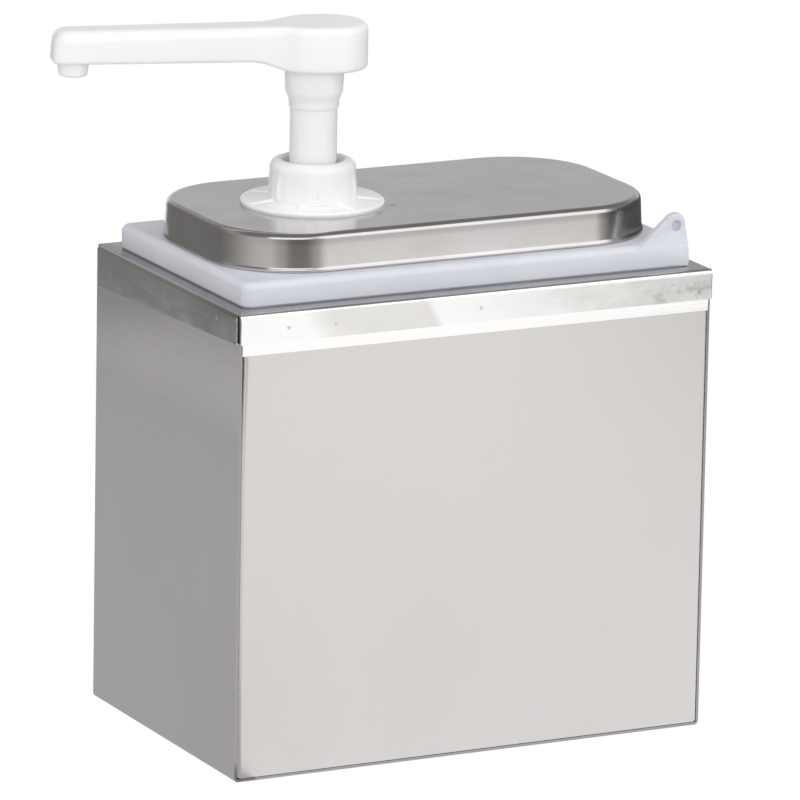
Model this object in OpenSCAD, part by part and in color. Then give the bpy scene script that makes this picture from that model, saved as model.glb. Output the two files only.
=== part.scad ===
// Countertop sauce dispenser: a folded steel housing, a lift-out plastic tank, a pressed steel lid
// and a white plastic plunger pump with a swivelling spout.
// Millimetres, +Z up. The origin is the middle of the housing's underside, X runs along the long
// side, the front is at -Y and the spout points to -X, turned a little to the back.

/* [Tank] */
// Length of the tank's body, along X
tank_w = 162; // [150:1:200]
// Depth of the tank's body, along Y
tank_d = 90; // [80:1:120]
// Plan radius of the tank's body corners
tank_r = 28; // [20:1:30]
// Wall and floor thickness of the tank
tank_wall = 2.5; // [2:0.1:4]
// Outer radius between the tank's floor and walls
tank_floor_r = 8; // [5:0.5:15]
// Room under the tank, above the base sheet
tank_floor_gap = 7; // [2:0.5:20]
// Height of the rim band that rests on the ledge
rim_h = 9; // [7:0.5:15]
// How far the rim band stands out past the body
rim_overhang = 8; // [6:0.5:12]
// Thickness of the rim band and of the deck on top
rim_t = 3; // [2.5:0.1:4]
// Rounding of the rim band's top edge
rim_edge_r = 1.4; // [0.5:0.1:2]
// Height of the mouth's neck above the deck
neck_rise = 8; // [4:0.5:9]

/* [Lug] */
// Radius of the lug's rounded top
lug_r = 4.6; // [4:0.1:7]
// How far the lug's outer edge leans in from the rim's end
lug_in = 0.8; // [0:0.1:2]
// Height of the lug's hole above the deck
lug_hole_rise = 6.1; // [5:0.1:12]
// Diameter of the lug's blind hole
lug_hole_d = 4.4; // [3:0.1:6]
// Depth of the lug's blind hole
lug_hole_depth = 2.5; // [1.5:0.1:2.6]
// Slope of the lug's inner edge, in degrees
lug_slope = 42; // [35:1:70]
// Thickness of the lug
lug_t = 3.5; // [3:0.1:5]

/* [Housing] */
// Height of the housing up to its ledge
housing_h = 171; // [160:1:220]
// Width of ledge left bare past the rim, at the ends
ledge_end = 6; // [4:0.5:15]
// Width of ledge left bare past the rim, at the front and back
ledge_side = 8; // [4:0.5:15]
// Thickness of the steel sheet
sheet = 1; // [0.7:0.1:1.2]
// Outer radius of the folded edges
bend_r = 1.6; // [1.4:0.1:2.2]
// Plan radius of the frame's corners
frame_r = 2.4; // [2.4:0.1:4]
// Height of the frame's folded skirt at the front
skirt_h = 11; // [8:0.5:20]
// Height of the frame's folded skirt at the back
skirt_back_h = 15.2; // [8:0.1:20]
// Width of the open slit at each corner of the skirt
skirt_slit = 1.1; // [1:0.1:2]
// Corner radius of the front and back panels
panel_r = 3; // [2.6:0.1:6]
// Depth of the flanges folded in from the panels
panel_flange = 9; // [6:0.5:12]
// Height of the hem that shows under the skirt
hem_h = 3.6; // [2:0.1:8]
// How far the hem stands out from the panel
hem_proud = 0.4; // [0.2:0.1:0.9]

/* [Lid] */
// How far the lid reaches past the tank's body, at the ends
lid_over_end = 5.5; // [5:0.5:7]
// How far the lid reaches past the tank's body, at the front and back
lid_over_side = 3.5; // [3.5:0.1:6]
// Plan radius of the lid's corners
lid_r = 34; // [30:1:40]
// Height of the lid
lid_h = 14; // [13:0.5:25]
// Thickness of the lid's steel
lid_t = 0.8; // [0.6:0.1:1]
// Radius of the lid's top edge
lid_edge_r = 2.5; // [2:0.5:5]
// Width of the rolled lip round the lid's foot
lid_lip = 0.8; // [0.8:0.1:1.6]
// How far the lid's wall leans in over its height
lid_draft = 0.6; // [0:0.1:1]

/* [Pump] */
// Distance of the pump from the end of the tank's body
pump_from_end = 44; // [38:1:51]
// Radius of the bore that the piston runs in
barrel_r = 11; // [10.5:0.1:12]
// Wall of the pump's barrel and neck
barrel_wall = 2; // [1.6:0.1:2.6]
// Length of the barrel under its shoulder
barrel_len = 72; // [60:1:90]
// Radius of the shoulder that holds the barrel under the lid
shoulder_r = 18; // [16:0.5:20]
// Thickness of the shoulder
shoulder_t = 2.5; // [2:0.1:4]
// Thickness of the flat seals
seal_t = 1.2; // [0.8:0.1:2]
// Radius of the flange on the lid
flange_r = 26; // [22:0.5:30]
// Height of the flange at its rim
flange_rim_h = 1.6; // [1.4:0.1:3]
// Height of the flange where the collar sits
flange_h = 3; // [2.4:0.1:5]
// Number of raised ribs on the flange
flange_ribs = 7; // [4:1:12]
// Width of a flange rib
flange_rib_w = 2.2; // [1.4:0.1:3]
// Radius of the collar nut over its corners
collar_r = 16; // [15.6:0.1:18]
// Height of the collar nut
collar_h = 13.6; // [12:0.1:18]
// Depth of the collar's open recess, down to the guide bush
collar_recess = 4; // [3:0.1:6]
// Radius of the collar's open recess
collar_mouth_r = 12; // [11.6:0.1:12.4]
// Rounding of the collar's top edge
collar_edge_r = 2.2; // [0.6:0.1:2.2]
// Number of wide grip faces round the collar
collar_grips = 6; // [4:1:8]
// Share of each grip's turn that is the wide face
collar_wide_share = 0.6; // [0.5:0.05:0.75]
// Thickness of the guide bush's flange
bush_flange_t = 1.5; // [1:0.1:2]
// Length of the guide bush under its flange
bush_len = 15; // [12:0.5:18]

/* [Plunger] */
// Radius of the stem
stem_r = 8.5; // [8:0.1:8.8]
// Radius of the passage in the stem
stem_bore_r = 5; // [4.6:0.1:5.4]
// Length of stem that shows between collar and spout socket
stem_show = 19.4; // [14:0.1:24]
// Height of the piston
piston_h = 14; // [12:0.5:18]
// Radius of the stem's tail in the piston
tail_r = 7; // [6.5:0.1:7.2]
// Length of the stem's tail in the piston
tail_len = 9; // [8:0.5:10]
// Wire diameter of the return spring
wire_d = 1.4; // [1:0.1:1.8]
// Number of turns of the return spring
spring_turns = 8; // [5:1:10]

/* [Spout] */
// Turn of the spout from -X to the back, in degrees
spout_turn = 17; // [0:1:60]
// Distance of the nozzle from the pump's axis
spout_reach = 87; // [60:1:120]
// Length of arm past the nozzle's axis
spout_nose = 8; // [7:0.5:12]
// Height of the arm at its tip
arm_h = 11.7; // [11:0.1:13]
// Width of the arm at the head
arm_root_w = 16; // [14:0.5:18]
// Width of the arm at its tip
arm_tip_w = 15; // [12:0.5:16]
// Rounding of the arm's top edges at the head
arm_edge_r = 3.4; // [2:0.1:5]
// Rounding of the arm's top edge at its tip
arm_tip_edge_r = 4.4; // [3:0.1:4.6]
// Plan radius of the arm's corners at its tip
arm_tip_corner_r = 4.8; // [4.7:0.1:6]
// Drop from the head's top to the arm's top at the head
arm_root_drop = 1.4; // [0.8:0.1:2.4]
// Plan radius between the arm and the head
arm_fillet_r = 14; // [6:0.5:20]
// Radius of the spout's head
head_r = 15; // [14:0.1:18]
// How far the head is drawn out behind the pump's axis
head_back = 4.1; // [2:0.1:8]
// Height of the spout's head
head_h = 16.3; // [15:0.1:20]
// Rounding of the head's edges
head_edge_r = 2.4; // [1:0.1:4]
// Drop of the head's underside below the arm's
head_drop = 2.7; // [2:0.1:4]
// Height of the socket under the head, with its band and taper
socket_h = 14.7; // [13:0.1:20]
// Height of the band at the socket's foot
band_h = 2.3; // [1.5:0.1:4]
// Radius of the band at the socket's foot
band_r = 8.75; // [8.75:0.05:9.5]
// Height of the taper above the band
taper_h = 2.8; // [1.5:0.1:5]
// Radius of the socket above its taper
socket_low_r = 10.3; // [9.8:0.1:11]
// Radius of the socket under the head
socket_top_r = 10.8; // [10.4:0.1:11.4]
// Radius of the passage in the arm
arm_bore_r = 3.4; // [3:0.1:4]
// Radius of the nozzle where it meets the arm
nozzle_top_r = 5.75; // [5.2:0.05:6.5]
// Radius of the nozzle at its foot
nozzle_low_r = 5.05; // [4.5:0.05:5.6]
// Length of nozzle that shows under the arm
nozzle_h = 5.4; // [4:0.1:10]
// Radius of the nozzle's bore
nozzle_bore_r = 2.6; // [2.2:0.1:3]

/* [Valves] */
// Radius of the inlet ball
inlet_ball_r = 5; // [4.4:0.1:5.4]
// Radius of the passage under the inlet ball
inlet_bore_r = 3; // [2.4:0.1:3]
// Travel of the inlet ball
inlet_lift = 3; // [2:0.1:4]
// Radius of the outlet ball
outlet_ball_r = 3.6; // [3.4:0.1:4]
// Radius of the passage under the outlet ball
outlet_bore_r = 2.2; // [1.8:0.1:2.3]
// Travel of the outlet ball
outlet_lift = 3.5; // [2:0.1:4]
// Outer radius of the dip tube
dip_r = 7.7; // [7.2:0.1:9]
// Wall of the dip tube
dip_wall = 1.4; // [1:0.1:1.6]
// Room between the dip tube and the tank's floor
dip_room = 4; // [2:0.5:10]

/* [Fits] */
// Room between the tank's body and the frame's opening
tank_clear = 1; // [0.5:0.1:2]
// Gap between a panel's fold and the end wall
panel_seam = 0.5; // [0.3:0.1:0.8]
// Radial gap of a running fit
run_fit = 0.05; // [0.02:0.01:0.1]
// Radial gap of a fixed fit
seat_fit = 0.05; // [0.02:0.01:0.1]
// Gap between a resting ball and its seat
ball_fit = 0.1; // [0.05:0.01:0.2]
// Gap left past a ball at the end of its travel
ball_stop_gap = 0.3; // [0.2:0.1:0.6]

/* [Hidden] */
$fn = 96;
hull_fn = 32;
// How far a cutting tool reaches past the face that it cuts
cut = 1;
// How far a flat runs under the fold or rounding that carries it on
lap = 0.2;

// Housing levels and outlines
rim_w = tank_w + 2 * rim_overhang;
rim_d = tank_d + 2 * rim_overhang;
housing_w = rim_w + 2 * ledge_end;
housing_d = rim_d + 2 * ledge_side;
wall_w = housing_w - 2 * sheet;
wall_d = housing_d - 2 * sheet;
wall_top = housing_h - bend_r;
skirt_foot = housing_h - skirt_h;
skirt_back_foot = housing_h - skirt_back_h;
skirt_slope = (skirt_back_h - skirt_h) / housing_d;
hem_gap = 0.1;
panel_w = wall_w - 2 * sheet - 2 * panel_seam;

// Tank levels
tank_foot = sheet + tank_floor_gap;
tank_floor_top = tank_foot + tank_wall;
rim_top = housing_h + rim_h;
neck_top = rim_top + neck_rise;
lug_x = rim_w / 2 - lug_r - lug_in;
lug_z = rim_top + lug_hole_rise;

// Lid levels
lid_w = tank_w + 2 * lid_over_end;
lid_d = tank_d + 2 * lid_over_side;
lid_top = rim_top + lid_h;
lid_under = lid_top - lid_t;
lid_crown_in = lid_lip + lid_draft + lid_edge_r;

// Pump levels, from the lid up and down
pump_x = pump_from_end - tank_w / 2;
neck_r = barrel_r + barrel_wall;
flange_top = lid_top + flange_h;
collar_top = flange_top + collar_h;
bush_top = collar_top - collar_recess;
pump_neck_top = bush_top - bush_flange_t;
bush_foot = pump_neck_top - bush_len;
bush_flange_step = 0.4;
bush_flange_r = neck_r - bush_flange_step;
bush_bore_r = stem_r + run_fit;
stem_seal_w = 1.6;
stem_seal_r = stem_r + stem_seal_w;
stem_seal_h = 2.6;
stem_seal_depth = 5;
stem_seal_z = pump_neck_top - stem_seal_depth;
shoulder_top = lid_under - seal_t;
shoulder_foot = shoulder_top - shoulder_t;
barrel_foot = shoulder_foot - barrel_len;
flange_seal_margin_in = 2;
flange_seal_in = neck_r + flange_seal_margin_in;
flange_seal_margin_out = 4;
flange_seal_out = flange_r - flange_seal_margin_out;
flange_rim_step = 0.6;
collar_land = 0.4;
rib_gap = 0.3;
rib_lead = 1;
rib_end = 1;
rib_foot = (flange_rim_h + seal_t) / 2;
rib_rise_out = 0.8;
rib_rise_in = 1.2;

// Inlet valve levels, from the barrel's foot
valve_flange_t = 4;
valve_flange_over = 1.5;
valve_flange_r = neck_r + valve_flange_over;
valve_flange_top = barrel_foot - seal_t;
valve_flange_foot = valve_flange_top - valve_flange_t;
inlet_seat_depth = 1;
inlet_seat_z = valve_flange_top - inlet_seat_depth;
inlet_ball_z = inlet_seat_z - inlet_bore_r + (inlet_ball_r + ball_fit) * sqrt(2);
plug_wall = 2;
inlet_chamber_r = barrel_r - plug_wall;
valve_plug_top = inlet_ball_z + inlet_ball_r + inlet_lift + ball_stop_gap;
retainer_t = 3;
retainer_top = valve_plug_top + retainer_t;
retainer_hold = 1.6;
retainer_hole_r = inlet_ball_r - retainer_hold;
retainer_slot_w = 3;
retainer_land = 1;
retainer_slot_reach = inlet_chamber_r - retainer_land;
dip_bore_r = dip_r - dip_wall;
nipple_r = dip_bore_r - seat_fit;
nipple_len = 16;
dip_foot = tank_floor_top + dip_room;
dip_slant = 30;

// Plunger levels
piston_room = 0.3;
piston_r = barrel_r - piston_room;
piston_gap = 0.3;
piston_top = bush_foot - piston_gap;
piston_foot = piston_top - piston_h;
piston_bore_r = stem_bore_r;
ring_h = 2.4;
ring_depth = 1.5;
ring_land = 2.2;
ring_levels = [piston_foot + ring_land, piston_top - ring_land - ring_h];
ring_in_r = piston_r - ring_depth;
ring_out_r = barrel_r - run_fit;
bead_h = 2;
bead_out = 0.5;
tail_foot = piston_top - tail_len;
spring_room = 1.2;
spring_mean_r = barrel_r - spring_room - wire_d / 2;

// Spout levels, from the collar up
band_foot = collar_top + stem_show;
socket_top = band_foot + socket_h;
arm_foot = socket_top + head_drop;
head_top = socket_top + head_h;
arm_axis = arm_foot + arm_h / 2;
haunch_in = 3.4;
haunch_out = 8;
haunch_t = 1;
spigot_step = 1.3;
spigot_r = stem_r - spigot_step;
spigot_rise = 1.3;
spigot_top = socket_top + spigot_rise;
stop_hold = 0.8;
stop_hole_r = outlet_ball_r - stop_hold;
stop_slot_w = 2.2;
stop_land = 0.4;
nozzle_spigot_wall = 1.4;
nozzle_spigot_r = nozzle_bore_r + nozzle_spigot_wall;
nozzle_foot = arm_foot - nozzle_h;
arm_end_x = spout_reach + spout_nose;

// Outlet valve levels, so that the lifted ball stops just under the spigot's top
outlet_ball_z = spigot_top - ball_stop_gap - outlet_lift - outlet_ball_r;
outlet_cone_z = outlet_ball_z + outlet_bore_r - (outlet_ball_r + ball_fit) * sqrt(2);
outlet_cone_depth = 3;
outlet_seat_foot = outlet_cone_z - outlet_cone_depth;
outlet_seat_h = 5;
outlet_seat_top = outlet_seat_foot + outlet_seat_h;

// A rectangle with rounded corners, centred
module rounded_rect(w, d, r) {
    square([w - 2 * r, d], center = true);
    square([w, d - 2 * r], center = true);
    for (x = [-1, 1], y = [-1, 1])
        translate([x * (w / 2 - r), y * (d / 2 - r)])
            circle(r);
}

// A quarter of a flat ring, in the quadrant that starts at the given angle
module quarter_ring(outer, inner, start) {
    rotate(start)
        intersection() {
            difference() {
                circle(outer);
                circle(inner);
            }
            square(outer);
        }
}

// A profile carried round a rounded rectangle: its x is the distance from the corner's centre
module round_sweep(w, d, r) {
    for (i = [0 : 3])
        translate([(i == 0 || i == 3 ? 1 : -1) * (w / 2 - r), (i < 2 ? 1 : -1) * (d / 2 - r), 0])
            rotate(90 * i)
                rotate_extrude(angle = 90)
                    children();
    for (turn = [0, 180])
        rotate(turn) {
            translate([w / 2 - r, 0, 0])
                rotate([90, 0, 0])
                    linear_extrude(d - 2 * r, center = true)
                        children();
            translate([0, d / 2 - r, 0])
                rotate([90, 0, 90])
                    linear_extrude(w - 2 * r, center = true)
                        children();
        }
}

// A straight tube on the Z axis
module tube(outer, inner, low, high) {
    translate([0, 0, low])
        difference() {
            cylinder(r = outer, h = high - low);
            translate([0, 0, -cut])
                cylinder(r = inner, h = high - low + 2 * cut);
        }
}

// A plain bar on the Z axis
module bar(r, low, high) {
    translate([0, 0, low])
        cylinder(r = r, h = high - low);
}

// Half of a rounded rectangle, to be turned about the Z axis
module rounded_half(r, low, high, edge) {
    translate([0, low])
        square([r - edge, high - low]);
    translate([0, low + edge])
        square([r, high - low - 2 * edge]);
    for (z = [low + edge, high - edge])
        translate([r - edge, z])
            circle(edge);
}

module on_pump() {
    translate([pump_x, 0, 0])
        children();
}

// A passage shaped as a hole with a cross of two slots, which a ball can't close
module crossed_hole(r, slot_w, slot_reach, low, high) {
    bar(r, low, high);
    for (turn = [0, 90])
        rotate(turn)
            translate([-slot_reach, -slot_w / 2, low])
                cube([2 * slot_reach, slot_w, high - low]);
}

// Ends and base of the housing, folded from one sheet
module wrap_profile() {
    translate([-wall_w / 2 + bend_r, 0])
        square([wall_w - 2 * bend_r, sheet]);
    for (side = [0, 1])
        mirror([side, 0])
            translate([wall_w / 2 - bend_r, bend_r]) {
                quarter_ring(bend_r, bend_r - sheet, -90);
                translate([bend_r - sheet, 0])
                    square([sheet, wall_top - bend_r]);
            }
}

module side_wrap() {
    color("silver")
        rotate([90, 0, 0])
            linear_extrude(wall_d, center = true)
                wrap_profile();
}

// Edge of a panel, folded back: x outward from the corner's centre, y forward
module panel_edge() {
    translate([0, panel_flange - sheet])
        square([panel_r - bend_r, sheet]);
    translate([panel_r - bend_r, panel_flange - bend_r])
        quarter_ring(bend_r, bend_r - sheet, 0);
    translate([panel_r - sheet, 0])
        square([sheet, panel_flange - bend_r]);
}

// A panel with folded sides and foot, standing on the base with its face forward
module folded_panel(hem_top) {
    panel_h = wall_top - sheet;
    flat_w = panel_w - 2 * panel_r;
    translate([0, -wall_d / 2 + panel_flange, sheet])
        rotate([90, 0, 0]) {
            translate([-flat_w / 2, panel_r, panel_flange - sheet])
                cube([flat_w, panel_h - panel_r, sheet]);
            for (side = [0, 1])
                mirror([side, 0, 0]) {
                    translate([flat_w / 2, panel_h, 0])
                        rotate([90, 0, 0])
                            linear_extrude(panel_h - panel_r)
                                panel_edge();
                    translate([flat_w / 2, panel_r, 0])
                        rotate(-90)
                            rotate_extrude(angle = 90)
                                panel_edge();
                }
            translate([0, panel_r, 0])
                rotate([90, 0, -90])
                    linear_extrude(flat_w, center = true)
                        panel_edge();
            translate([-flat_w / 2, hem_top - hem_gap - sheet - hem_h, panel_flange])
                cube([flat_w, hem_h, hem_proud]);
        }
}

module front_panel() {
    color("gainsboro")
        folded_panel(skirt_foot);
}

module back_panel() {
    color("gainsboro")
        rotate(180)
            folded_panel(skirt_back_foot);
}

// Ledge that carries the tank, with its folded skirt: levels from the ledge's top
module frame_edge() {
    skirt_deep = max(skirt_h, skirt_back_h) + cut;
    translate([frame_r - bend_r - lap, -sheet])
        square([lap, sheet]);
    translate([frame_r - bend_r, -bend_r])
        quarter_ring(bend_r, bend_r - sheet, 0);
    translate([frame_r - sheet, -skirt_deep])
        square([sheet, skirt_deep - bend_r]);
}

// Space under the skirt, whose foot slopes from the front to the back
module under_skirt() {
    reach = housing_d / 2 + cut;
    deep = max(skirt_h, skirt_back_h) + 2 * cut;
    rotate([90, 0, 90])
        linear_extrude(housing_w + 2 * cut, center = true)
            polygon([
                [-reach, -deep], [reach, -deep], [reach, -skirt_back_h - skirt_slope * cut],
                [-reach, -skirt_h + skirt_slope * cut]
            ]);
}

module top_frame() {
    color("silver")
        translate([0, 0, housing_h])
            difference() {
                union() {
                    round_sweep(housing_w, housing_d, frame_r)
                        frame_edge();
                    translate([0, 0, -sheet])
                        linear_extrude(sheet)
                            difference() {
                                rounded_rect(
                                    housing_w - 2 * bend_r, housing_d - 2 * bend_r, frame_r - bend_r
                                );
                                rounded_rect(
                                    tank_w + 2 * tank_clear, tank_d + 2 * tank_clear, tank_r + tank_clear
                                );
                            }
                }
                under_skirt();
                for (x = [-1, 1], y = [-1, 1])
                    translate([x * housing_w / 2, y * housing_d / 2, -bend_r - housing_h])
                        rotate(x * y * 45)
                            translate([-frame_r, -skirt_slit / 2, 0])
                                cube([2 * frame_r, skirt_slit, housing_h]);
            }
}

// Lug at the rim's front corner: x along the rim, y up from the rim's foot
module lug_outline() {
    tangent = [-lug_r * sin(lug_slope), rim_h + lug_hole_rise + lug_r * cos(lug_slope)];
    base_x = tangent.x - (tangent.y - rim_h) / tan(lug_slope);
    translate([0, rim_h + lug_hole_rise])
        circle(lug_r);
    polygon([
        [base_x, 0], [lug_r + lug_in, 0], [lug_r + lug_in, rim_h], [lug_r, rim_h + lug_hole_rise],
        [0, rim_h + lug_hole_rise], tangent, [base_x, rim_h]
    ]);
}

module rim_edge() {
    square([rim_t, rim_h - rim_edge_r]);
    square([rim_t - rim_edge_r, rim_h]);
    translate([rim_t - rim_edge_r, rim_h - rim_edge_r])
        circle(rim_edge_r);
}

// Rounding between the tank's floor and walls, with a strip of the floor
module tank_foot_edge() {
    translate([tank_r - tank_floor_r, tank_floor_r])
        quarter_ring(tank_floor_r, tank_floor_r - tank_wall, -90);
    translate([tank_r - tank_floor_r - lap, 0])
        square([lap, tank_wall]);
}

module tank_body() {
    inner_r = tank_r - tank_wall;
    translate([0, 0, tank_foot + tank_floor_r])
        linear_extrude(neck_top - tank_foot - tank_floor_r)
            difference() {
                rounded_rect(tank_w, tank_d, tank_r);
                rounded_rect(tank_w - 2 * tank_wall, tank_d - 2 * tank_wall, inner_r);
            }
    translate([0, 0, tank_foot])
        round_sweep(tank_w, tank_d, tank_r)
            tank_foot_edge();
    translate([0, 0, tank_foot])
        linear_extrude(tank_wall)
            rounded_rect(tank_w - 2 * tank_floor_r, tank_d - 2 * tank_floor_r, tank_r - tank_floor_r);
}

module tank() {
    color("whitesmoke")
        difference() {
            union() {
                tank_body();
                translate([0, 0, housing_h])
                    round_sweep(rim_w, rim_d, rim_t)
                        rim_edge();
                translate([0, 0, rim_top - rim_t])
                    linear_extrude(rim_t)
                        difference() {
                            square([rim_w - 2 * rim_t, rim_d - 2 * rim_t], center = true);
                            rounded_rect(tank_w - tank_wall, tank_d - tank_wall, tank_r - tank_wall / 2);
                        }
                translate([lug_x, -rim_d / 2 + lug_t, housing_h])
                    rotate([90, 0, 0])
                        linear_extrude(lug_t)
                            lug_outline();
            }
            translate([lug_x, -rim_d / 2 + lug_hole_depth, lug_z])
                rotate([90, 0, 0])
                    cylinder(d = lug_hole_d, h = lug_hole_depth + cut);
        }
}

// Wall of the lid: x outward from the corner's centre, y up from the deck
module lid_wall() {
    lip_r = lid_lip;
    foot = lid_r - lid_lip;
    crown = lid_r - lid_crown_in;
    shoulder = lid_h - lid_edge_r;
    translate([foot - lid_t, 0])
        square([lid_lip, lip_r]);
    translate([lid_r - lip_r, lip_r])
        circle(lip_r);
    polygon([
        [foot - lid_t, 0], [foot, 0], [crown + lid_edge_r, shoulder],
        [crown + lid_edge_r - lid_t, shoulder]
    ]);
    translate([crown, shoulder])
        quarter_ring(lid_edge_r, lid_edge_r - lid_t, 0);
    translate([crown - lap, lid_h - lid_t])
        square([lap, lid_t]);
}

module lid() {
    color("silver")
        difference() {
            union() {
                translate([0, 0, rim_top])
                    round_sweep(lid_w, lid_d, lid_r)
                        lid_wall();
                translate([0, 0, lid_under])
                    linear_extrude(lid_t)
                        rounded_rect(
                            lid_w - 2 * lid_crown_in, lid_d - 2 * lid_crown_in, lid_r - lid_crown_in
                        );
            }
            on_pump()
                bar(neck_r + seat_fit, lid_under - cut, lid_top + cut);
        }
}

module flange_gasket() {
    color("lightgray")
        on_pump()
            tube(flange_seal_out, flange_seal_in, lid_top, lid_top + seal_t);
}

// Flange that spreads the collar's load on the lid, with radial ribs
module radial_ribs() {
    intersection() {
        rotate_extrude()
            polygon([
                [collar_r + rib_gap, rib_foot], [flange_r - rib_end, rib_foot],
                [flange_r - 2 * rib_end, flange_rim_h + rib_rise_out],
                [collar_r + rib_lead, flange_h + rib_rise_in], [collar_r + rib_gap, flange_h]
            ]);
        for (i = [0 : flange_ribs - 1])
            rotate((i + 0.5) * 360 / flange_ribs)
                translate([0, -flange_rib_w / 2, 0])
                    cube([flange_r, flange_rib_w, flange_h + 2 * rib_rise_in]);
    }
}

module pump_flange() {
    color("white")
        on_pump()
            translate([0, 0, lid_top])
                difference() {
                    union() {
                        bar(flange_r, 0, flange_rim_h);
                        translate([0, 0, flange_rim_h])
                            cylinder(
                                r1 = flange_r - flange_rim_step, r2 = collar_r + collar_land,
                                h = flange_h - flange_rim_h
                            );
                        radial_ribs();
                    }
                    bar(neck_r + seat_fit, -cut, flange_h + 2 * cut);
                    tube(flange_seal_out + seat_fit, flange_seal_in - seat_fit, -cut, seal_t);
                }
}

// Collar nut: wide and narrow grip faces in turn
module collar_outline() {
    pitch = 360 / collar_grips;
    polygon([
        for (i = [0 : collar_grips - 1], edge = [-1, 1])
            let (a = i * pitch + edge * collar_wide_share * pitch / 2)
            collar_r * [cos(a), sin(a)]
    ]);
}

module collar_nut() {
    color("white")
        on_pump()
            difference() {
                intersection() {
                    translate([0, 0, flange_top])
                        linear_extrude(collar_h)
                            collar_outline();
                    rotate_extrude()
                        rounded_half(collar_r, flange_top, collar_top, collar_edge_r);
                }
                bar(neck_r + seat_fit, flange_top - cut, bush_top);
                bar(collar_mouth_r, flange_top - cut, collar_top + cut);
            }
}

module guide_bush() {
    color("ivory")
        on_pump()
            difference() {
                union() {
                    bar(bush_flange_r, pump_neck_top, bush_top);
                    bar(barrel_r - seat_fit, bush_foot, pump_neck_top + cut);
                }
                bar(bush_bore_r, bush_foot - cut, bush_top + cut);
                bar(stem_seal_r + seat_fit, stem_seal_z, stem_seal_z + stem_seal_h);
            }
}

module stem_seal() {
    color("dimgray")
        on_pump()
            tube(stem_seal_r, stem_r + run_fit, stem_seal_z, stem_seal_z + stem_seal_h);
}

module pump_cylinder() {
    color("white")
        on_pump()
            difference() {
                union() {
                    bar(neck_r, barrel_foot, pump_neck_top);
                    bar(shoulder_r, shoulder_foot, shoulder_top);
                }
                bar(barrel_r, barrel_foot - cut, pump_neck_top + cut);
            }
}

module cylinder_gasket() {
    color("lightgray")
        on_pump()
            tube(shoulder_r, neck_r + seat_fit, shoulder_top, lid_under);
}

// Foot valve: flange, plug in the barrel, cone for the ball and a nipple for the dip tube
module inlet_valve_body() {
    color("white")
        on_pump()
            difference() {
                union() {
                    bar(valve_flange_r, valve_flange_foot, valve_flange_top);
                    bar(barrel_r - seat_fit, valve_flange_foot, valve_plug_top);
                    bar(nipple_r, valve_flange_foot - nipple_len, valve_flange_top);
                }
                bar(inlet_bore_r, valve_flange_foot - nipple_len - cut, valve_plug_top);
                translate([0, 0, inlet_seat_z])
                    cylinder(
                        r1 = inlet_bore_r, r2 = inlet_chamber_r, h = inlet_chamber_r - inlet_bore_r
                    );
                bar(inlet_chamber_r, inlet_seat_z + inlet_chamber_r - inlet_bore_r, valve_plug_top + cut);
            }
}

module inlet_gasket() {
    color("lightgray")
        on_pump()
            tube(neck_r, barrel_r + seat_fit, valve_flange_top, barrel_foot);
}

module ball_retainer() {
    color("ivory")
        on_pump()
            difference() {
                bar(barrel_r - seat_fit, valve_plug_top, retainer_top);
                crossed_hole(
                    retainer_hole_r, retainer_slot_w, retainer_slot_reach,
                    valve_plug_top - cut, retainer_top + cut
                );
            }
}

module inlet_ball() {
    color("gray")
        on_pump()
            translate([0, 0, inlet_ball_z])
                sphere(inlet_ball_r);
}

// Dip tube, cut on a slant at its foot so that it can't seal on the floor
module dip_tube() {
    color("whitesmoke")
        on_pump()
            difference() {
                tube(dip_r, dip_bore_r, dip_foot, valve_flange_foot);
                translate([-dip_r, 0, dip_foot])
                    rotate([0, -dip_slant, 0])
                        translate([-cut, -dip_r - cut, -2 * dip_r])
                            cube([3 * dip_r, 2 * dip_r + 2 * cut, 2 * dip_r]);
            }
}

module piston() {
    color("ivory")
        on_pump()
            difference() {
                bar(piston_r, piston_foot, piston_top);
                bar(piston_bore_r, piston_foot - cut, piston_top);
                bar(tail_r + run_fit, tail_foot, piston_top + cut);
                bar(
                    tail_r + bead_out + run_fit, tail_foot + bead_h - run_fit,
                    tail_foot + 2 * bead_h + run_fit
                );
                for (z = ring_levels)
                    tube(piston_r + cut, ring_in_r, z, z + ring_h);
            }
}

module piston_rings() {
    color("dimgray")
        on_pump()
            for (z = ring_levels)
                tube(ring_out_r, ring_in_r + seat_fit, z, z + ring_h);
}

// Return spring: one wire wound from the retainer up to the piston
spring_foot = retainer_top + wire_d / 2;
spring_rise = piston_foot - retainer_top - wire_d;
wire_sides = 6;
turn_steps = 16;
spring_steps = spring_turns * turn_steps;

// Share of the rise at a share of the length: the first and last turns lie almost flat
function spring_share(t) =
    let (flat = 1 / spring_turns, lay = 0.06)
    t < flat ? t / flat * lay
    : t > 1 - flat ? 1 - (1 - t) / flat * lay
    : lay + (t - flat) / (1 - 2 * flat) * (1 - 2 * lay);

function spring_point(i, k) =
    let (a = 360 * i / turn_steps, b = 360 * k / wire_sides)
    let (r = spring_mean_r + wire_d / 2 * cos(b))
    let (z = spring_foot + spring_rise * spring_share(i / spring_steps) + wire_d / 2 * sin(b))
    [r * cos(a), r * sin(a), z];

module return_spring() {
    last = spring_steps * wire_sides;
    color("darkgray")
        on_pump()
            polyhedron(
                points = [
                    for (i = [0 : spring_steps], k = [0 : wire_sides - 1])
                        spring_point(i, k)
                ],
                faces = [
                    for (i = [0 : spring_steps - 1], k = [0 : wire_sides - 1])
                        let (a = i * wire_sides + k, b = i * wire_sides + (k + 1) % wire_sides)
                        each [[a, b, a + wire_sides], [b, b + wire_sides, a + wire_sides]],
                    for (k = [1 : wire_sides - 2])
                        each [[0, k + 1, k], [last, last + k, last + k + 1]]
                ]
            );
}

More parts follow.
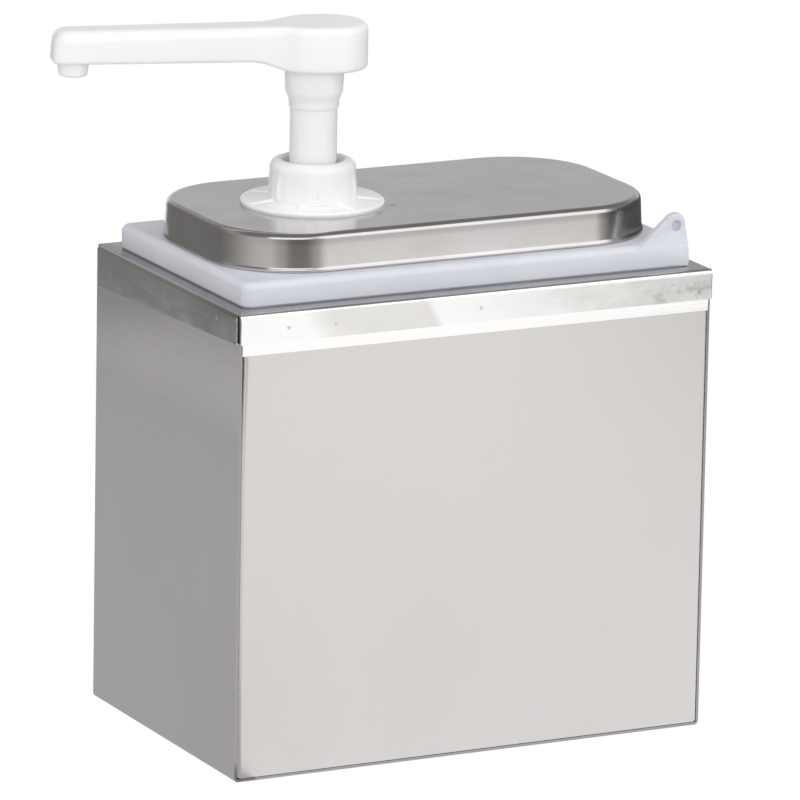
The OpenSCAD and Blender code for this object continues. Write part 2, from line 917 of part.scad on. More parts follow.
module pump_stem() {
    color("white")
        on_pump()
            difference() {
                union() {
                    bar(stem_r, piston_top, band_foot);
                    bar(spigot_r, piston_top, spigot_top);
                    bar(tail_r, tail_foot, piston_top + cut);
                    bar(tail_r + bead_out, tail_foot + bead_h, tail_foot + 2 * bead_h);
                }
                bar(stem_bore_r, tail_foot - cut, spigot_top + cut);
            }
}

module outlet_seat() {
    color("ivory")
        on_pump()
            difference() {
                bar(stem_bore_r - seat_fit, outlet_seat_foot, outlet_seat_top);
                bar(outlet_bore_r, outlet_seat_foot - cut, outlet_seat_top);
                translate([0, 0, outlet_cone_z])
                    cylinder(
                        r1 = outlet_bore_r, r2 = outlet_bore_r + outlet_seat_top - outlet_cone_z + cut,
                        h = outlet_seat_top - outlet_cone_z + cut
                    );
            }
}

module outlet_ball() {
    color("gray")
        on_pump()
            translate([0, 0, outlet_ball_z])
                sphere(outlet_ball_r);
}

// Spout head: a round cap on a socket, with the arm out to the nozzle
module on_spout() {
    on_pump()
        rotate(180 - spout_turn)
            children();
}

// A post with a rounded top, for the arm's corners
module arm_post(x, y, r, low, high, edge) {
    translate([x, y, 0])
        rotate_extrude($fn = hull_fn)
            intersection() {
                rounded_half(r, low - edge, high, edge, $fn = hull_fn);
                translate([0, low])
                    square([r, high - low]);
            }
}

// Web in plan between the arm and the head, hollowed by a round on each side
module arm_web() {
    web_y = arm_root_w / 2 + arm_fillet_r;
    web_x = sqrt(pow(head_r + arm_fillet_r, 2) - pow(web_y, 2));
    difference() {
        polygon([[0, 0], [web_x, -web_y], [web_x, web_y]]);
        for (side = [-1, 1])
            translate([web_x, side * web_y])
                circle(arm_fillet_r);
    }
}

module spout_arm() {
    root_y = arm_root_w / 2 - arm_edge_r;
    root_top = head_top - arm_root_drop;
    tip_x = arm_end_x - arm_tip_corner_r;
    tip_y = arm_tip_w / 2 - arm_tip_corner_r;
    hull()
        for (side = [-1, 1]) {
            arm_post(0, side * root_y, arm_edge_r, arm_foot, root_top, arm_edge_r);
            arm_post(
                tip_x, side * tip_y, arm_tip_corner_r, arm_foot, arm_foot + arm_h, arm_tip_edge_r
            );
        }
    translate([0, 0, arm_foot])
        linear_extrude(root_top - arm_edge_r - arm_foot)
            arm_web();
    hull() {
        translate([0, -root_y, socket_top])
            cube([head_r - haunch_in, 2 * root_y, head_drop]);
        translate([0, -root_y, arm_foot])
            cube([head_r + haunch_out, 2 * root_y, haunch_t]);
    }
}

// Cap over the socket, drawn out behind the pump's axis
module head_cap() {
    for (end = [0, 1])
        translate([-end * head_back, 0, 0])
            rotate(end * 180 - 90)
                rotate_extrude(angle = 180)
                    rounded_half(head_r, socket_top, head_top, head_edge_r);
    translate([-head_back, 0, 0])
        rotate([90, 0, 90])
            linear_extrude(head_back)
                for (side = [0, 1])
                    mirror([side, 0])
                        rounded_half(head_r, socket_top, head_top, head_edge_r);
}

module head_socket() {
    rotate_extrude() {
        translate([0, band_foot])
            square([band_r, band_h]);
        polygon([
            [0, band_foot + band_h], [band_r, band_foot + band_h],
            [socket_low_r, band_foot + band_h + taper_h], [socket_top_r, socket_top], [0, socket_top]
        ]);
    }
}

module spout_head() {
    color("white")
        on_spout()
            difference() {
                union() {
                    head_socket();
                    head_cap();
                    spout_arm();
                }
                bar(spigot_r + seat_fit, band_foot - cut, spigot_top);
                crossed_hole(
                    stop_hole_r, stop_slot_w, stem_bore_r - stop_land, spigot_top - cut, arm_axis
                );
                translate([0, 0, arm_axis])
                    rotate([0, 90, 0])
                        cylinder(r = arm_bore_r, h = spout_reach);
                translate([spout_reach, 0, 0])
                    bar(nozzle_spigot_r + seat_fit, arm_foot - cut, arm_axis);
            }
}

module nozzle_tip() {
    color("white")
        on_spout()
            translate([spout_reach, 0, 0])
                difference() {
                    union() {
                        translate([0, 0, nozzle_foot])
                            cylinder(r1 = nozzle_low_r, r2 = nozzle_top_r, h = nozzle_h);
                        bar(nozzle_spigot_r, nozzle_foot, arm_axis - arm_bore_r);
                    }
                    bar(nozzle_bore_r, nozzle_foot - cut, arm_axis);
                }
}

side_wrap();
front_panel();
back_panel();
top_frame();
tank();
lid();
flange_gasket();
pump_flange();
collar_nut();
guide_bush();
stem_seal();
pump_cylinder();
cylinder_gasket();
inlet_valve_body();
inlet_gasket();
ball_retainer();
inlet_ball();
dip_tube();
piston();
piston_rings();
return_spring();
pump_stem();
outlet_seat();
outlet_ball();
spout_head();
nozzle_tip();
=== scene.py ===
import math

import bmesh
import bpy
from mathutils import Matrix, Vector


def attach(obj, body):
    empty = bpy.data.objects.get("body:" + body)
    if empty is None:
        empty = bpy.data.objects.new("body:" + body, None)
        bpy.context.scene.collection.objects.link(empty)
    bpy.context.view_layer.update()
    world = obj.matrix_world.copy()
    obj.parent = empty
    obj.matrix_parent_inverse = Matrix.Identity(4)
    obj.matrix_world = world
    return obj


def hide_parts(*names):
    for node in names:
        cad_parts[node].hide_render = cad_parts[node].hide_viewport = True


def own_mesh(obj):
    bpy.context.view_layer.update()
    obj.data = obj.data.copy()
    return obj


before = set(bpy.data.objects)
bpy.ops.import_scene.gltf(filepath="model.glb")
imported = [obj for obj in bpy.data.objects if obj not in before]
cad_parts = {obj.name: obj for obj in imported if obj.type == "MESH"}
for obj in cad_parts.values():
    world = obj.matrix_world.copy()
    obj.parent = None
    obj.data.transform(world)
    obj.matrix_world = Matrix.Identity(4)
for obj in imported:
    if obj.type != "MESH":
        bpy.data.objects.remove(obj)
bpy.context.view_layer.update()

# Main sizes in millimetres, in the frame of the solids

MM = 0.001

HALF_W, HALF_D = 95.0, 61.0
FRAME_TOP = 171.0
FRONT_FOOT, BACK_FOOT = 160.0, 155.8
SHEET, BEND = 1.0, 1.6
PANEL_FACE = HALF_D - SHEET

TANK_W, TANK_D, TANK_R = 162.0, 90.0, 28.0
TANK_WALL = 2.5
RIM_W, RIM_D, RIM_R = 178.0, 106.0, 4.0
RIM_TOP = 180.0
LUG_X, LUG_Z, LUG_R = 83.6, 186.1, 4.6

LID_W, LID_D, LID_R = 174.0, 97.0, 34.0
LID_TOP = 194.0
LID_DENTS = ((-12.0, -14.7), (-22.8, -24.6))

PUMP_X = -37.0
NECK_R = 13.1
COLLAR_FOOT = LID_TOP + 2
RIB_COUNT, GRIP_COUNT = 7, 6

HEAD_R, HEAD_BACK = 15.0, 4.1
HEAD_TOP, HEAD_FOOT = 260.4, 243.8
ARM_HALF, ARM_END = 8.0, 95.0
ARM_ANGLE = math.radians(17)
SOCKET_FOOT = HEAD_FOOT - 14.5
FLOW_R, FLOW_TOP = 6.0, 247.6
NOZZLE_AT, NOZZLE_FOOT = 87, 242.0


# Mesh helpers, in millimetres


def make_piece(name, parts, material, body, sharp=32):
    """One mesh piece from a list of (verts, faces) parts, riding on a body."""
    verts, faces = [], []
    for part_verts, part_faces in parts:
        start = len(verts)
        verts += [(x * MM, y * MM, z * MM) for x, y, z in part_verts]
        faces += [tuple(start + i for i in face) for face in part_faces]
    mesh = bpy.data.meshes.new(name)
    mesh.from_pydata(verts, [], faces)
    bm = bmesh.new()
    bm.from_mesh(mesh)
    bmesh.ops.recalc_face_normals(bm, faces=bm.faces)
    bm.to_mesh(mesh)
    bm.free()
    mesh.shade_smooth()
    mesh.set_sharp_from_angle(angle=math.radians(sharp))
    mesh.materials.append(material)
    piece = bpy.data.objects.new(name, mesh)
    bpy.context.scene.collection.objects.link(piece)
    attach(piece, body)
    return piece


def loft(loops, closed=False, caps=True):
    """Skin over equally long loops of points; the first and last get a cap."""
    count = len(loops[0])
    verts = [point for loop in loops for point in loop]
    faces = []
    rings = len(loops)
    for k in range(rings if closed else rings - 1):
        a, b = k * count, (k + 1) % rings * count
        for i in range(count):
            j = (i + 1) % count
            faces.append((a + i, a + j, b + j, b + i))
    if caps and not closed:
        faces.append(tuple(range(count)))
        faces.append(tuple(range((rings - 1) * count, rings * count)))
    return verts, faces


def arc(cx, cz, r, start, end, steps):
    """Points of an arc in a profile; angles in degrees."""
    angles = [math.radians(start + (end - start) * i / steps) for i in range(steps + 1)]
    return [(cx + r * math.cos(a), cz + r * math.sin(a)) for a in angles]


def rect_loop(w, d, r, z, corner):
    """A level loop round a rectangle; each rounded corner has that many steps."""
    loop = []
    for k, (sx, sy) in enumerate(((1, 1), (-1, 1), (-1, -1), (1, -1))):
        for i in range(corner + 1):
            a = math.pi / 2 * (k + i / corner)
            loop.append((sx * (w / 2 - r) + r * math.cos(a), sy * (d / 2 - r) + r * math.sin(a), z))
    return loop


def turned(profile, foot, cx=PUMP_X, cy=0.0, steps=96):
    """A closed profile of (radius, height above the foot) points turned about a vertical axis."""
    loops = []
    for i in range(steps):
        a = 2 * math.pi * i / steps
        loops.append([(cx + r * math.cos(a), cy + r * math.sin(a), foot + z) for r, z in profile])
    return loft(loops, closed=True)


def smoothstep(low, high, x):
    """A soft step from 0 to 1 between two values of x."""
    t = min(1.0, max(0.0, (x - low) / (high - low)))
    return t * t * (3 - 2 * t)


# Material helpers

NOISE_LOW, NOISE_HIGH = 0.3, 0.7
MIX_FACTOR, MIX_A, MIX_B, MIX_RESULT = 0, 6, 7, 2


def new_node(tree, kind, **settings):
    """A shader node of a kind, with settings such as its operation."""
    node = tree.nodes.new("ShaderNode" + kind)
    for key, value in settings.items():
        setattr(node, key, value)
    return node


class Shade:
    """A Principled material with a few node helpers; places and bump depths are in millimetres."""

    def __init__(self, name, **sockets):
        self.material = bpy.data.materials.new(name)
        self.material.use_nodes = True
        self.tree = self.material.node_tree
        self.shader = self.tree.nodes["Principled BSDF"]
        self.normal = None
        self.coord = new_node(self.tree, "TexCoord")
        for key, value in sockets.items():
            self.shader.inputs[key.replace("_", " ")].default_value = value

    def link(self, a, b):
        self.tree.links.new(a, b)

    def noise(self, scale, stretch, detail, rough=0.5):
        mapping = new_node(self.tree, "Mapping")
        mapping.inputs["Scale"].default_value = stretch
        texture = new_node(self.tree, "TexNoise")
        for key, number in zip(("Scale", "Detail", "Roughness"), (scale, detail, rough)):
            texture.inputs[key].default_value = number
        self.link(self.coord.outputs["Object"], mapping.inputs["Vector"])
        self.link(mapping.outputs["Vector"], texture.inputs["Vector"])
        return texture.outputs[0]

    def remap(self, value, from_low, from_high, low, high):
        node = new_node(self.tree, "MapRange")
        keys = ("From Min", "From Max", "To Min", "To Max")
        for key, number in zip(keys, (from_low, from_high, low, high)):
            node.inputs[key].default_value = number
        self.link(value, node.inputs["Value"])
        return node.outputs["Result"]

    def vary(self, noise, low, high):
        """The usual span of a noise, taken to a range."""
        return self.remap(noise, NOISE_LOW, NOISE_HIGH, low, high)

    def between(self, value, start, end, low, high):
        """A length taken from low to high between two places."""
        return self.remap(value, start * MM, end * MM, low, high)

    def along(self, name, start, end, low, high):
        """From low to high between two places on an axis of the piece."""
        return self.between(self.axis(name), start, end, low, high)

    def combine(self, operation, a, b):
        node = new_node(self.tree, "Math", operation=operation)
        for socket, value in zip(node.inputs, (a, b)):
            if isinstance(value, (int, float)):
                socket.default_value = value
            else:
                self.link(value, socket)
        return node.outputs[0]

    def plus(self, a, b):
        return self.combine("ADD", a, b)

    def minus(self, a, b):
        return self.combine("SUBTRACT", a, b)

    def times(self, a, b):
        return self.combine("MULTIPLY", a, b)

    def size(self, value):
        return self.combine("ABSOLUTE", value, 0)

    def mix(self, factor, a, b):
        node = new_node(self.tree, "Mix", data_type="RGBA")
        for index, value in ((MIX_FACTOR, factor), (MIX_A, a), (MIX_B, b)):
            if isinstance(value, (tuple, int, float)):
                node.inputs[index].default_value = (*value, 1.0) if isinstance(value, tuple) else value
            else:
                self.link(value, node.inputs[index])
        return node.outputs[MIX_RESULT]

    def split(self, vector, name):
        node = new_node(self.tree, "SeparateXYZ")
        self.link(vector, node.inputs[0])
        return node.outputs[name]

    def axis(self, name):
        return self.split(self.coord.outputs["Object"], name)

    def facing(self, name):
        """How far a face points along an axis, from -1 to 1."""
        return self.split(new_node(self.tree, "NewGeometry").outputs["Normal"], name)

    def bump(self, height, depth, strength):
        node = new_node(self.tree, "Bump")
        node.inputs["Strength"].default_value = strength
        node.inputs["Distance"].default_value = depth * MM
        self.link(height, node.inputs["Height"])
        if self.normal is not None:
            self.link(self.normal, node.inputs["Normal"])
        self.normal = node.outputs["Normal"]

    def finish(self, color, roughness):
        self.link(color, self.shader.inputs["Base Color"])
        self.link(roughness, self.shader.inputs["Roughness"])
        self.link(self.normal, self.shader.inputs["Normal"])
        return self.material


class Polished(Shade):
    """Bright steel: faint smudges and hairline scratches, with soft dents in its reflections."""

    def __init__(self, name, dark, light, rough, more=0.05):
        super().__init__(name, Metallic=1.0)
        self.smudge = self.noise(38, (1, 1, 1), 4, 0.6)
        self.hair = self.noise(90, (1, 1, 9), 5, 0.7)
        self.color = self.mix(self.vary(self.smudge, 0, 1), dark, light)
        smudged = self.remap(self.smudge, 0.35, 0.75, rough, rough + more)
        self.spread = self.plus(smudged, self.remap(self.hair, 0.45, 0.75, 0, 0.05))

    def polish(self, wave):
        self.bump(self.noise(34, (1, 1, 1.6), 2.0, 0.4), wave, 0.6)
        self.bump(self.hair, 0.03, 0.25)
        return self.finish(self.color, self.spread)


def satin_steel(name, dark, light, rough, hem=None):
    """Sheet steel with a fine level grain and a slight waviness, painted near-black as shade where the front
    skirt covers it.

    A panel has painted light toward its head, and is bright where its hem stands out past a plane. A wall has
    a painted highlight on its head and cut edges painted dark as the shade of the corner seams.
    """
    s = Shade(name, Metallic=1.0)
    smudge = s.noise(14, (1, 1, 0.7), 4, 0.6)
    grain = s.noise(60, (1, 1, 26), 3, 0.6)
    color = s.mix(s.vary(smudge, 0, 1), dark, light)
    spread = s.plus(s.vary(smudge, rough, rough + 0.06), s.vary(grain, -0.02, 0.02))
    if hem is None:
        painted_head_light, painted_seam_shade = (0.96, 0.94, 0.94), (0.37, 0.365, 0.36)
        # The wall's head is painted paler: a painted highlight standing in for the light it reflects.
        color = s.mix(s.along("Z", 124, 158, 0, 1), color, painted_head_light)
        # Edges facing front or back are painted dark: painted shade for the corner seams.
        color = s.mix(s.remap(s.size(s.facing("Y")), 0.9, 0.95, 0, 1), color, painted_seam_shade)
    else:
        painted_head_light, bright = (0.775, 0.755, 0.745), (1.0, 0.995, 0.99)
        proud = s.between(s.size(s.axis("Y")), hem - 0.1, hem, 0, 1)
        # The panel is painted paler toward its head: painted light for how its reflection brightens upward.
        color = s.mix(s.along("Z", 40, 150, 0, 0.8), color, painted_head_light)
        color = s.mix(proud, color, bright)
        spread = s.minus(spread, s.times(proud, 0.2))
    # Painted shade: near-black above the front skirt's foot on the front half, hidden under the skirt and
    # seen through the corner slits.
    painted_slit_shade = (0.012, 0.012, 0.012)
    above_foot = s.along("Z", FRONT_FOOT + 0.1, FRONT_FOOT + 0.4, 0, 1)
    color = s.mix(s.times(above_foot, s.along("Y", -1, 1, 1, 0)), color, painted_slit_shade)
    s.bump(s.noise(9, (1, 1, 1), 2), 1.2, 0.25)
    s.bump(grain, 0.03, 0.2)
    return s.finish(color, spread)


def polished_steel(name, dark, light, rough, wave):
    return Polished(name, dark, light, rough).polish(wave)


def lid_steel(name, dark, light, rough, wave):
    """Polished steel with painted shade: small dark spots at two dents on top and a dark band under the
    crown.
    Its right corner is painted darker as shade, and is rougher.
    """
    dent, shade, painted_corner_shade = (0.18, 0.175, 0.17), (0.27, 0.26, 0.25), (0.24, 0.225, 0.21)
    s = Polished(name, dark, light, rough)
    # Painted dark spots at two dents on top, standing in for the dents' reflections.
    for x, y in LID_DENTS:
        reach = new_node(s.tree, "VectorMath", operation="DISTANCE")
        reach.inputs[1].default_value = (x * MM, y * MM, LID_TOP * MM)
        s.link(s.coord.outputs["Object"], reach.inputs[0])
        ragged = s.plus(reach.outputs["Value"], s.vary(s.hair, -0.6 * MM, 0.6 * MM))
        s.color = s.mix(s.between(ragged, 0.6, 1.6, 0.65, 0), s.color, dent)
    # Painted shade: a dark band under the crown on the faces toward front and back.
    dip = s.plus(s.along("Z", 182.5, 191.2, 0, 0.18), s.along("Z", 189.3, 191.0, 0, 0.32))
    dip = s.times(dip, s.along("Z", 191.8, 192.6, 1, 0))
    dip = s.times(dip, s.remap(s.size(s.facing("Y")), 0.6, 0.9, 0, 1))
    s.color = s.mix(dip, s.color, shade)
    # Painted shade: the lid's right corner is darker; it is also rougher.
    shaded_corner = s.times(s.along("X", 58, 70, 0, 1), s.along("Z", 192.5, 193.5, 1, 0))
    s.color = s.mix(s.times(shaded_corner, 0.45), s.color, painted_corner_shade)
    s.spread = s.plus(s.spread, s.times(shaded_corner, 0.12))
    return s.polish(wave)


def frame_steel(name):
    """Polished steel: painted reflections and scuffs on the front skirt; painted shade on end skirts and the
    ledge.
    """
    white, grey, brown, black = (1.0, 1.0, 1.0), (0.72, 0.705, 0.70), (0.36, 0.35, 0.33), (0.1, 0.1, 0.1)
    s = Polished(name, (0.85, 0.84, 0.83), (1.0, 0.995, 0.985), 0.13, 0.06)
    # Painted reflections: white over the left part, with a grey band within it.
    slanted = s.plus(s.axis("X"), s.times(s.minus(s.axis("Z"), 165 * MM), 0.6))
    grey_reflection = s.times(s.between(slanted, -68, -56, 0, 1), s.between(slanted, -19.5, -16.5, 1, 0))
    clear = s.times(s.minus(1.0, grey_reflection), s.between(slanted, 5, 40, 1, 0))
    bright = s.mix(s.times(grey_reflection, 0.5), s.mix(clear, s.color, white), grey)
    scuff = s.remap(s.noise(190, (1, 1, 1.3), 5, 0.6), 0.5, 0.62, 0, 0.6)
    scuff = s.times(scuff, s.times(s.along("X", 60, 85, 0, 1), s.along("Z", 162.5, 168, 1, 0)))
    # Painted shade: the end skirts are darker, most at the front.
    end_skirt_shade = s.times(s.remap(s.size(s.facing("X")), 0.3, 0.6, 0, 1), s.along("Y", -55, -15, 0.48, 0.22))
    bright = s.mix(end_skirt_shade, s.mix(scuff, bright, brown), black)
    # Painted shade: the ledge's top is darker, more so at its left end; it is also rougher.
    ledge_shade = s.mix(s.vary(s.smudge, 0, 1), (0.47, 0.47, 0.47), (0.55, 0.55, 0.55))
    ledge_shade = s.mix(s.along("X", -90.5, -88.5, 0.25, 0), ledge_shade, black)
    level = s.remap(s.facing("Z"), 0.93, 0.99, 0, 1)
    s.color = s.mix(level, bright, ledge_shade)
    s.spread = s.plus(s.spread, s.times(level, 0.08))
    return s.polish(0.6)


def moulded(name, dark, light, rough, **sockets):
    """Moulded plastic: faint flow marks, a fine orange peel."""
    s = Shade(name, **sockets)
    flow = s.noise(30, (1, 1, 1), 3, 0.6)
    s.bump(s.noise(120, (1, 1, 1), 2), 0.08, 0.3)
    s.bump(s.noise(900, (1, 1, 1), 2), 0.02, 0.3)
    return s.finish(s.mix(s.vary(flow, 0, 1), dark, light), s.vary(flow, rough - 0.04, rough + 0.05))


WALL = satin_steel("wall_steel", (0.665, 0.645, 0.648), (0.705, 0.685, 0.688), 0.15)
PANEL = satin_steel("panel_steel", (0.675, 0.652, 0.644), (0.715, 0.692, 0.684), 0.28, PANEL_FACE + 0.3)
BRIGHT = frame_steel("bright_steel")
LID = lid_steel("lid_steel", (0.618, 0.592, 0.577), (0.70, 0.681, 0.68), 0.17, 0.28)
TANK = moulded("tank_plastic", (0.655, 0.668, 0.722), (0.715, 0.728, 0.782), 0.42)
PUMP = moulded(
    "pump_plastic", (0.875, 0.875, 0.87), (0.905, 0.905, 0.90), 0.36,
    Subsurface_Weight=0.12, Subsurface_Scale=0.004, Subsurface_Radius=(1.0, 0.9, 0.8),
)
DISC = moulded("disc_plastic", (0.94, 0.94, 0.935), (0.965, 0.965, 0.96), 0.36)
BUSH = moulded("bush_plastic", (0.72, 0.71, 0.68), (0.77, 0.76, 0.73), 0.4)
TUBE = moulded("tube_plastic", (0.74, 0.75, 0.76), (0.80, 0.81, 0.82), 0.36)
RUBBER = moulded("seal_rubber", (0.30, 0.30, 0.31), (0.36, 0.36, 0.37), 0.6)
SPRING = polished_steel("spring_steel", (0.48, 0.47, 0.46), (0.55, 0.54, 0.53), 0.22, 0.1)
BALL = polished_steel("ball_steel", (0.60, 0.59, 0.58), (0.66, 0.65, 0.64), 0.1, 0.05)
WELD = polished_steel("weld_steel", (0.74, 0.73, 0.72), (0.82, 0.81, 0.80), 0.2, 0.1)

NODE_MATERIALS = {
    WALL: ("side_wrap",),
    PANEL: ("front_panel", "back_panel"),
    BRIGHT: ("top_frame",),
    LID: ("lid",),
    TANK: ("tank",),
    PUMP: (
        "pump_flange", "collar_nut", "pump_cylinder", "inlet_valve_body", "pump_stem", "spout_head",
        "nozzle_tip",
    ),
    BUSH: ("guide_bush", "ball_retainer", "piston", "outlet_seat"),
    TUBE: ("dip_tube",),
    RUBBER: ("flange_gasket", "stem_seal", "cylinder_gasket", "inlet_gasket", "piston_rings"),
    SPRING: ("return_spring",),
    BALL: ("inlet_ball", "outlet_ball"),
}
for material, names in NODE_MATERIALS.items():
    for name in names:
        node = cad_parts[name]
        node.data.materials.clear()
        node.data.materials.append(material)


# Lid: a pressed cap with a rolled lip


def lid_loops():
    """Loops from the crown's underside down the inside, round the lip and up the outside: (inset, level)."""
    sheet, crown, lip, foot = 0.8, 2.5, 0.7, RIM_TOP + 0.05
    crown_in, crown_z = 4.5, LID_TOP - crown
    flare = ((1.05, 0.95), (1.12, 1.15), (1.3, 1.45), (1.45, 1.75), (1.52, 2.1), (1.54, 2.5))
    skirt = ((1.7, 5.5), (1.93, 10.0))
    inner = arc(crown_in, crown_z, crown - sheet, 90, 180, 8) + [(2.5, RIM_TOP + 2.4), (2.2, foot)]
    outer = arc(1.75, foot + lip, lip, 270, 180, 6)
    outer += [(d, RIM_TOP + rise) for d, rise in flare + skirt]
    outer += arc(crown_in, crown_z, crown, 180, 90, 12) + [(5.0, LID_TOP), (9.0, LID_TOP)]
    return [rect_loop(LID_W - 2 * d, LID_D - 2 * d, LID_R - d, z, 24) for d, z in inner + outer]


lid_skin = make_piece("lid_skin", [loft(lid_loops())], LID, "lid")
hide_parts("lid")


# Tank: one moulding with a rim band, a deck, a neck and a lug


def tank_loops():
    """Loops from the floor up the outside, round the rim band, over the neck and down the inside."""
    corner, bend, bend_z, edge = 16, 8, 16, 2.8
    deck, neck = RIM_TOP - 3, RIM_TOP + 8

    def body(inset, z):
        return rect_loop(TANK_W - 2 * inset, TANK_D - 2 * inset, TANK_R - inset, z, corner)

    def band(inset, z, r):
        return rect_loop(RIM_W - 2 * inset, RIM_D - 2 * inset, r, z, corner)

    loops = [body(d, z) for d, z in arc(bend, bend_z, bend, 270, 180, 8)]
    loops += [body(0, deck - 1), body(-0.3, deck - 0.2), body(-1, deck)]
    loops += [band(3.5, deck, 0.9), band(3, deck - 0.8, 0.6)]
    loops += [band(3, FRAME_TOP + 0.6, 0.6), band(2.4, FRAME_TOP, 2), band(0.6, FRAME_TOP, RIM_R - 0.6)]
    loops += [band(0, FRAME_TOP + 0.6, RIM_R)]
    loops += [band(d, z, RIM_R - d) for d, z in arc(edge, RIM_TOP - edge, edge, 180, 90, 9)]
    loops += [body(-2, RIM_TOP), body(-0.6, RIM_TOP + 0.5), body(0, RIM_TOP + 1.8), body(0, neck - 0.8)]
    loops += [body(0.6, neck), body(TANK_WALL - 0.6, neck), body(TANK_WALL, neck - 0.8)]
    inner_bend = bend - TANK_WALL
    loops += [body(TANK_WALL + d, z) for d, z in arc(inner_bend, bend_z, inner_bend, 180, 270, 8)]
    return loops


def lug_outline():
    """The lug from the front: a round head, flatter on its right, a slope down to the band on its left."""
    slope, foot_z, right = math.radians(42), RIM_TOP + 0.6, RIM_W / 2
    outline = []
    for angle in range(-5, 133, 4):
        r = LUG_R - 0.9 * (1 - smoothstep(20, 75, angle))
        outline += arc(LUG_X, LUG_Z, r, angle, angle, 1)[:1]
    head_x, head_z = LUG_X - LUG_R * math.sin(slope), LUG_Z + LUG_R * math.cos(slope)
    foot_x = head_x - (head_z - foot_z) / math.tan(slope)
    outline += [(head_x, head_z), (foot_x, foot_z), (foot_x - 1.2, RIM_TOP - 0.2)]
    outline += [(foot_x - 2.8, RIM_TOP - 1), (foot_x - 5, RIM_TOP - 1.8), (foot_x - 5, RIM_TOP - 3)]
    outline += [(LUG_X - 2, FRAME_TOP + 2), (right - 4.5, FRAME_TOP + 0.3), (right - 0.6, FRAME_TOP + 0.2)]
    return outline + [(right - 0.2, FRAME_TOP + 0.6), (right - 0.7, RIM_TOP)]


def lug_reach(outline, angle):
    """How far a ray from the middle of the lug's head runs to the outline."""
    dx, dz = math.cos(angle), math.sin(angle)
    best = None
    for (ax, az), (bx, bz) in zip(outline, outline[1:] + outline[:1]):
        ex, ez = bx - ax, bz - az
        det = dx * -ez + dz * ex
        if abs(det) < 1e-9:
            continue
        t = ((ax - LUG_X) * -ez + (az - LUG_Z) * ex) / det
        u = (dx * (az - LUG_Z) - dz * (ax - LUG_X)) / det
        if t > 0 and -1e-6 <= u <= 1 + 1e-6 and (best is None or t < best):
            best = t
    return best


def lug_part():
    """The lug, from the floor of its blind hole over its face and round its edge to its back."""
    front, back, floor = -RIM_D / 2 - 0.01, -49.5, -50.5
    edge, chamfer, hole, middle, set_back = 0.55, 0.15, 2.0, 0.4, 0.35
    step_low, step_mid, step_high = RIM_TOP - 1.4, RIM_TOP - 1.0, RIM_TOP - 0.7
    steps = 120
    angles = [2 * math.pi * i / steps for i in range(steps)]
    outline = lug_outline()
    far = [lug_reach(outline, a) for a in angles]
    free = [smoothstep(RIM_TOP - 0.8, RIM_TOP + 1.5, LUG_Z + q * math.sin(a)) for q, a in zip(far, angles)]

    def loop(radii, y):
        return [(LUG_X + q * math.cos(a), y, LUG_Z + q * math.sin(a)) for q, a in zip(radii, angles)]

    def ring(radius, y):
        return loop([radius] * steps, y)

    def face(radii, depth):
        """A loop of the face, which is set back above the band."""
        flat = loop(radii, front + depth)
        return [(x, y + set_back * smoothstep(step_low, step_high, z), z) for x, y, z in flat]

    def down_to(level, keep):
        """Radii that stop at a level on the way down, and short of the edge elsewhere."""
        radii = []
        for q, e, a in zip(far, free, angles):
            drop = (LUG_Z - level) / max(0.05, -math.sin(a))
            radii.append(max(min(q - edge * e - keep, drop), 2.5))
        return radii

    def inside(inset):
        """Radii inside the outline, where the lug stands free of the band."""
        return [q - inset * e for q, e in zip(far, free)]

    loops = [ring(middle, floor), ring(hole - 0.3, floor), ring(hole, floor - 0.3)]
    loops += [face([hole + grow] * steps, depth) for grow, depth in ((0, 0.3), (0.1, 0.1), (0.3, 0))]
    for level, keep in ((step_high, 0.5), (step_mid, 0.45), (step_low, 0.4)):
        loops.append(face(down_to(level, keep), 0))
    loops += [face(inside(edge), 0), face(inside(chamfer), chamfer), face(far, edge), loop(far, back - edge)]
    loops += [loop([q - chamfer for q in far], back - chamfer), loop([q - edge for q in far], back)]
    return loft(loops + [ring(middle, back)])


tank_skin = make_piece("tank_skin", [loft(tank_loops()), lug_part()], TANK, "tank", 40)
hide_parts("tank")


# Pump flange: a thin ribbed disc, with heights above the lid

flange_profile = [(NECK_R, 0), (25.75, 0), (25.9, 0.3)] + arc(25.25, 0.95, 0.75, -10, 90, 7)
flange_profile += [(24.7, 1.65), (24.0, 1.58), (21.0, 1.85), (18.6, 2.0), (17.0, 2.1), (15.3, 2.1)]
flange_profile += [(15.1, 2.4), (NECK_R, 2.4)]


def rib_part(angle):
    """A low radial rib, rounded on top and run out at its end; its stations are (radius, top, half width)."""
    stations = (
        (15.0, 3.5, 1.0), (17, 2.9, 1.0), (20, 2.45, 1.0),
        (22.6, 2.15, 0.9), (24.2, 1.9, 0.8), (25.0, 1.6, 0.5),
    )
    foot = 0.6
    along, across = (math.cos(angle), math.sin(angle)), (-math.sin(angle), math.cos(angle))
    loops = []
    for radius, top, half in stations:
        side = [(half - 0.2, top - 0.2), (half + 0.5, top - 0.75), (half + 0.9, foot)]
        section = [(-y, z) for y, z in reversed(side)] + [(0, top)] + side
        loops.append([
            (PUMP_X + radius * along[0] + y * across[0], radius * along[1] + y * across[1], LID_TOP + z)
            for y, z in section
        ])
    return loft(loops)


ribs = [rib_part(math.radians((i + 0.5) * 360 / RIB_COUNT)) for i in range(RIB_COUNT)]
flange_parts = [turned(flange_profile, LID_TOP, steps=128)] + ribs
flange_skin = make_piece("flange_skin", flange_parts, DISC, "lid")
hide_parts("pump_flange")


# Collar nut


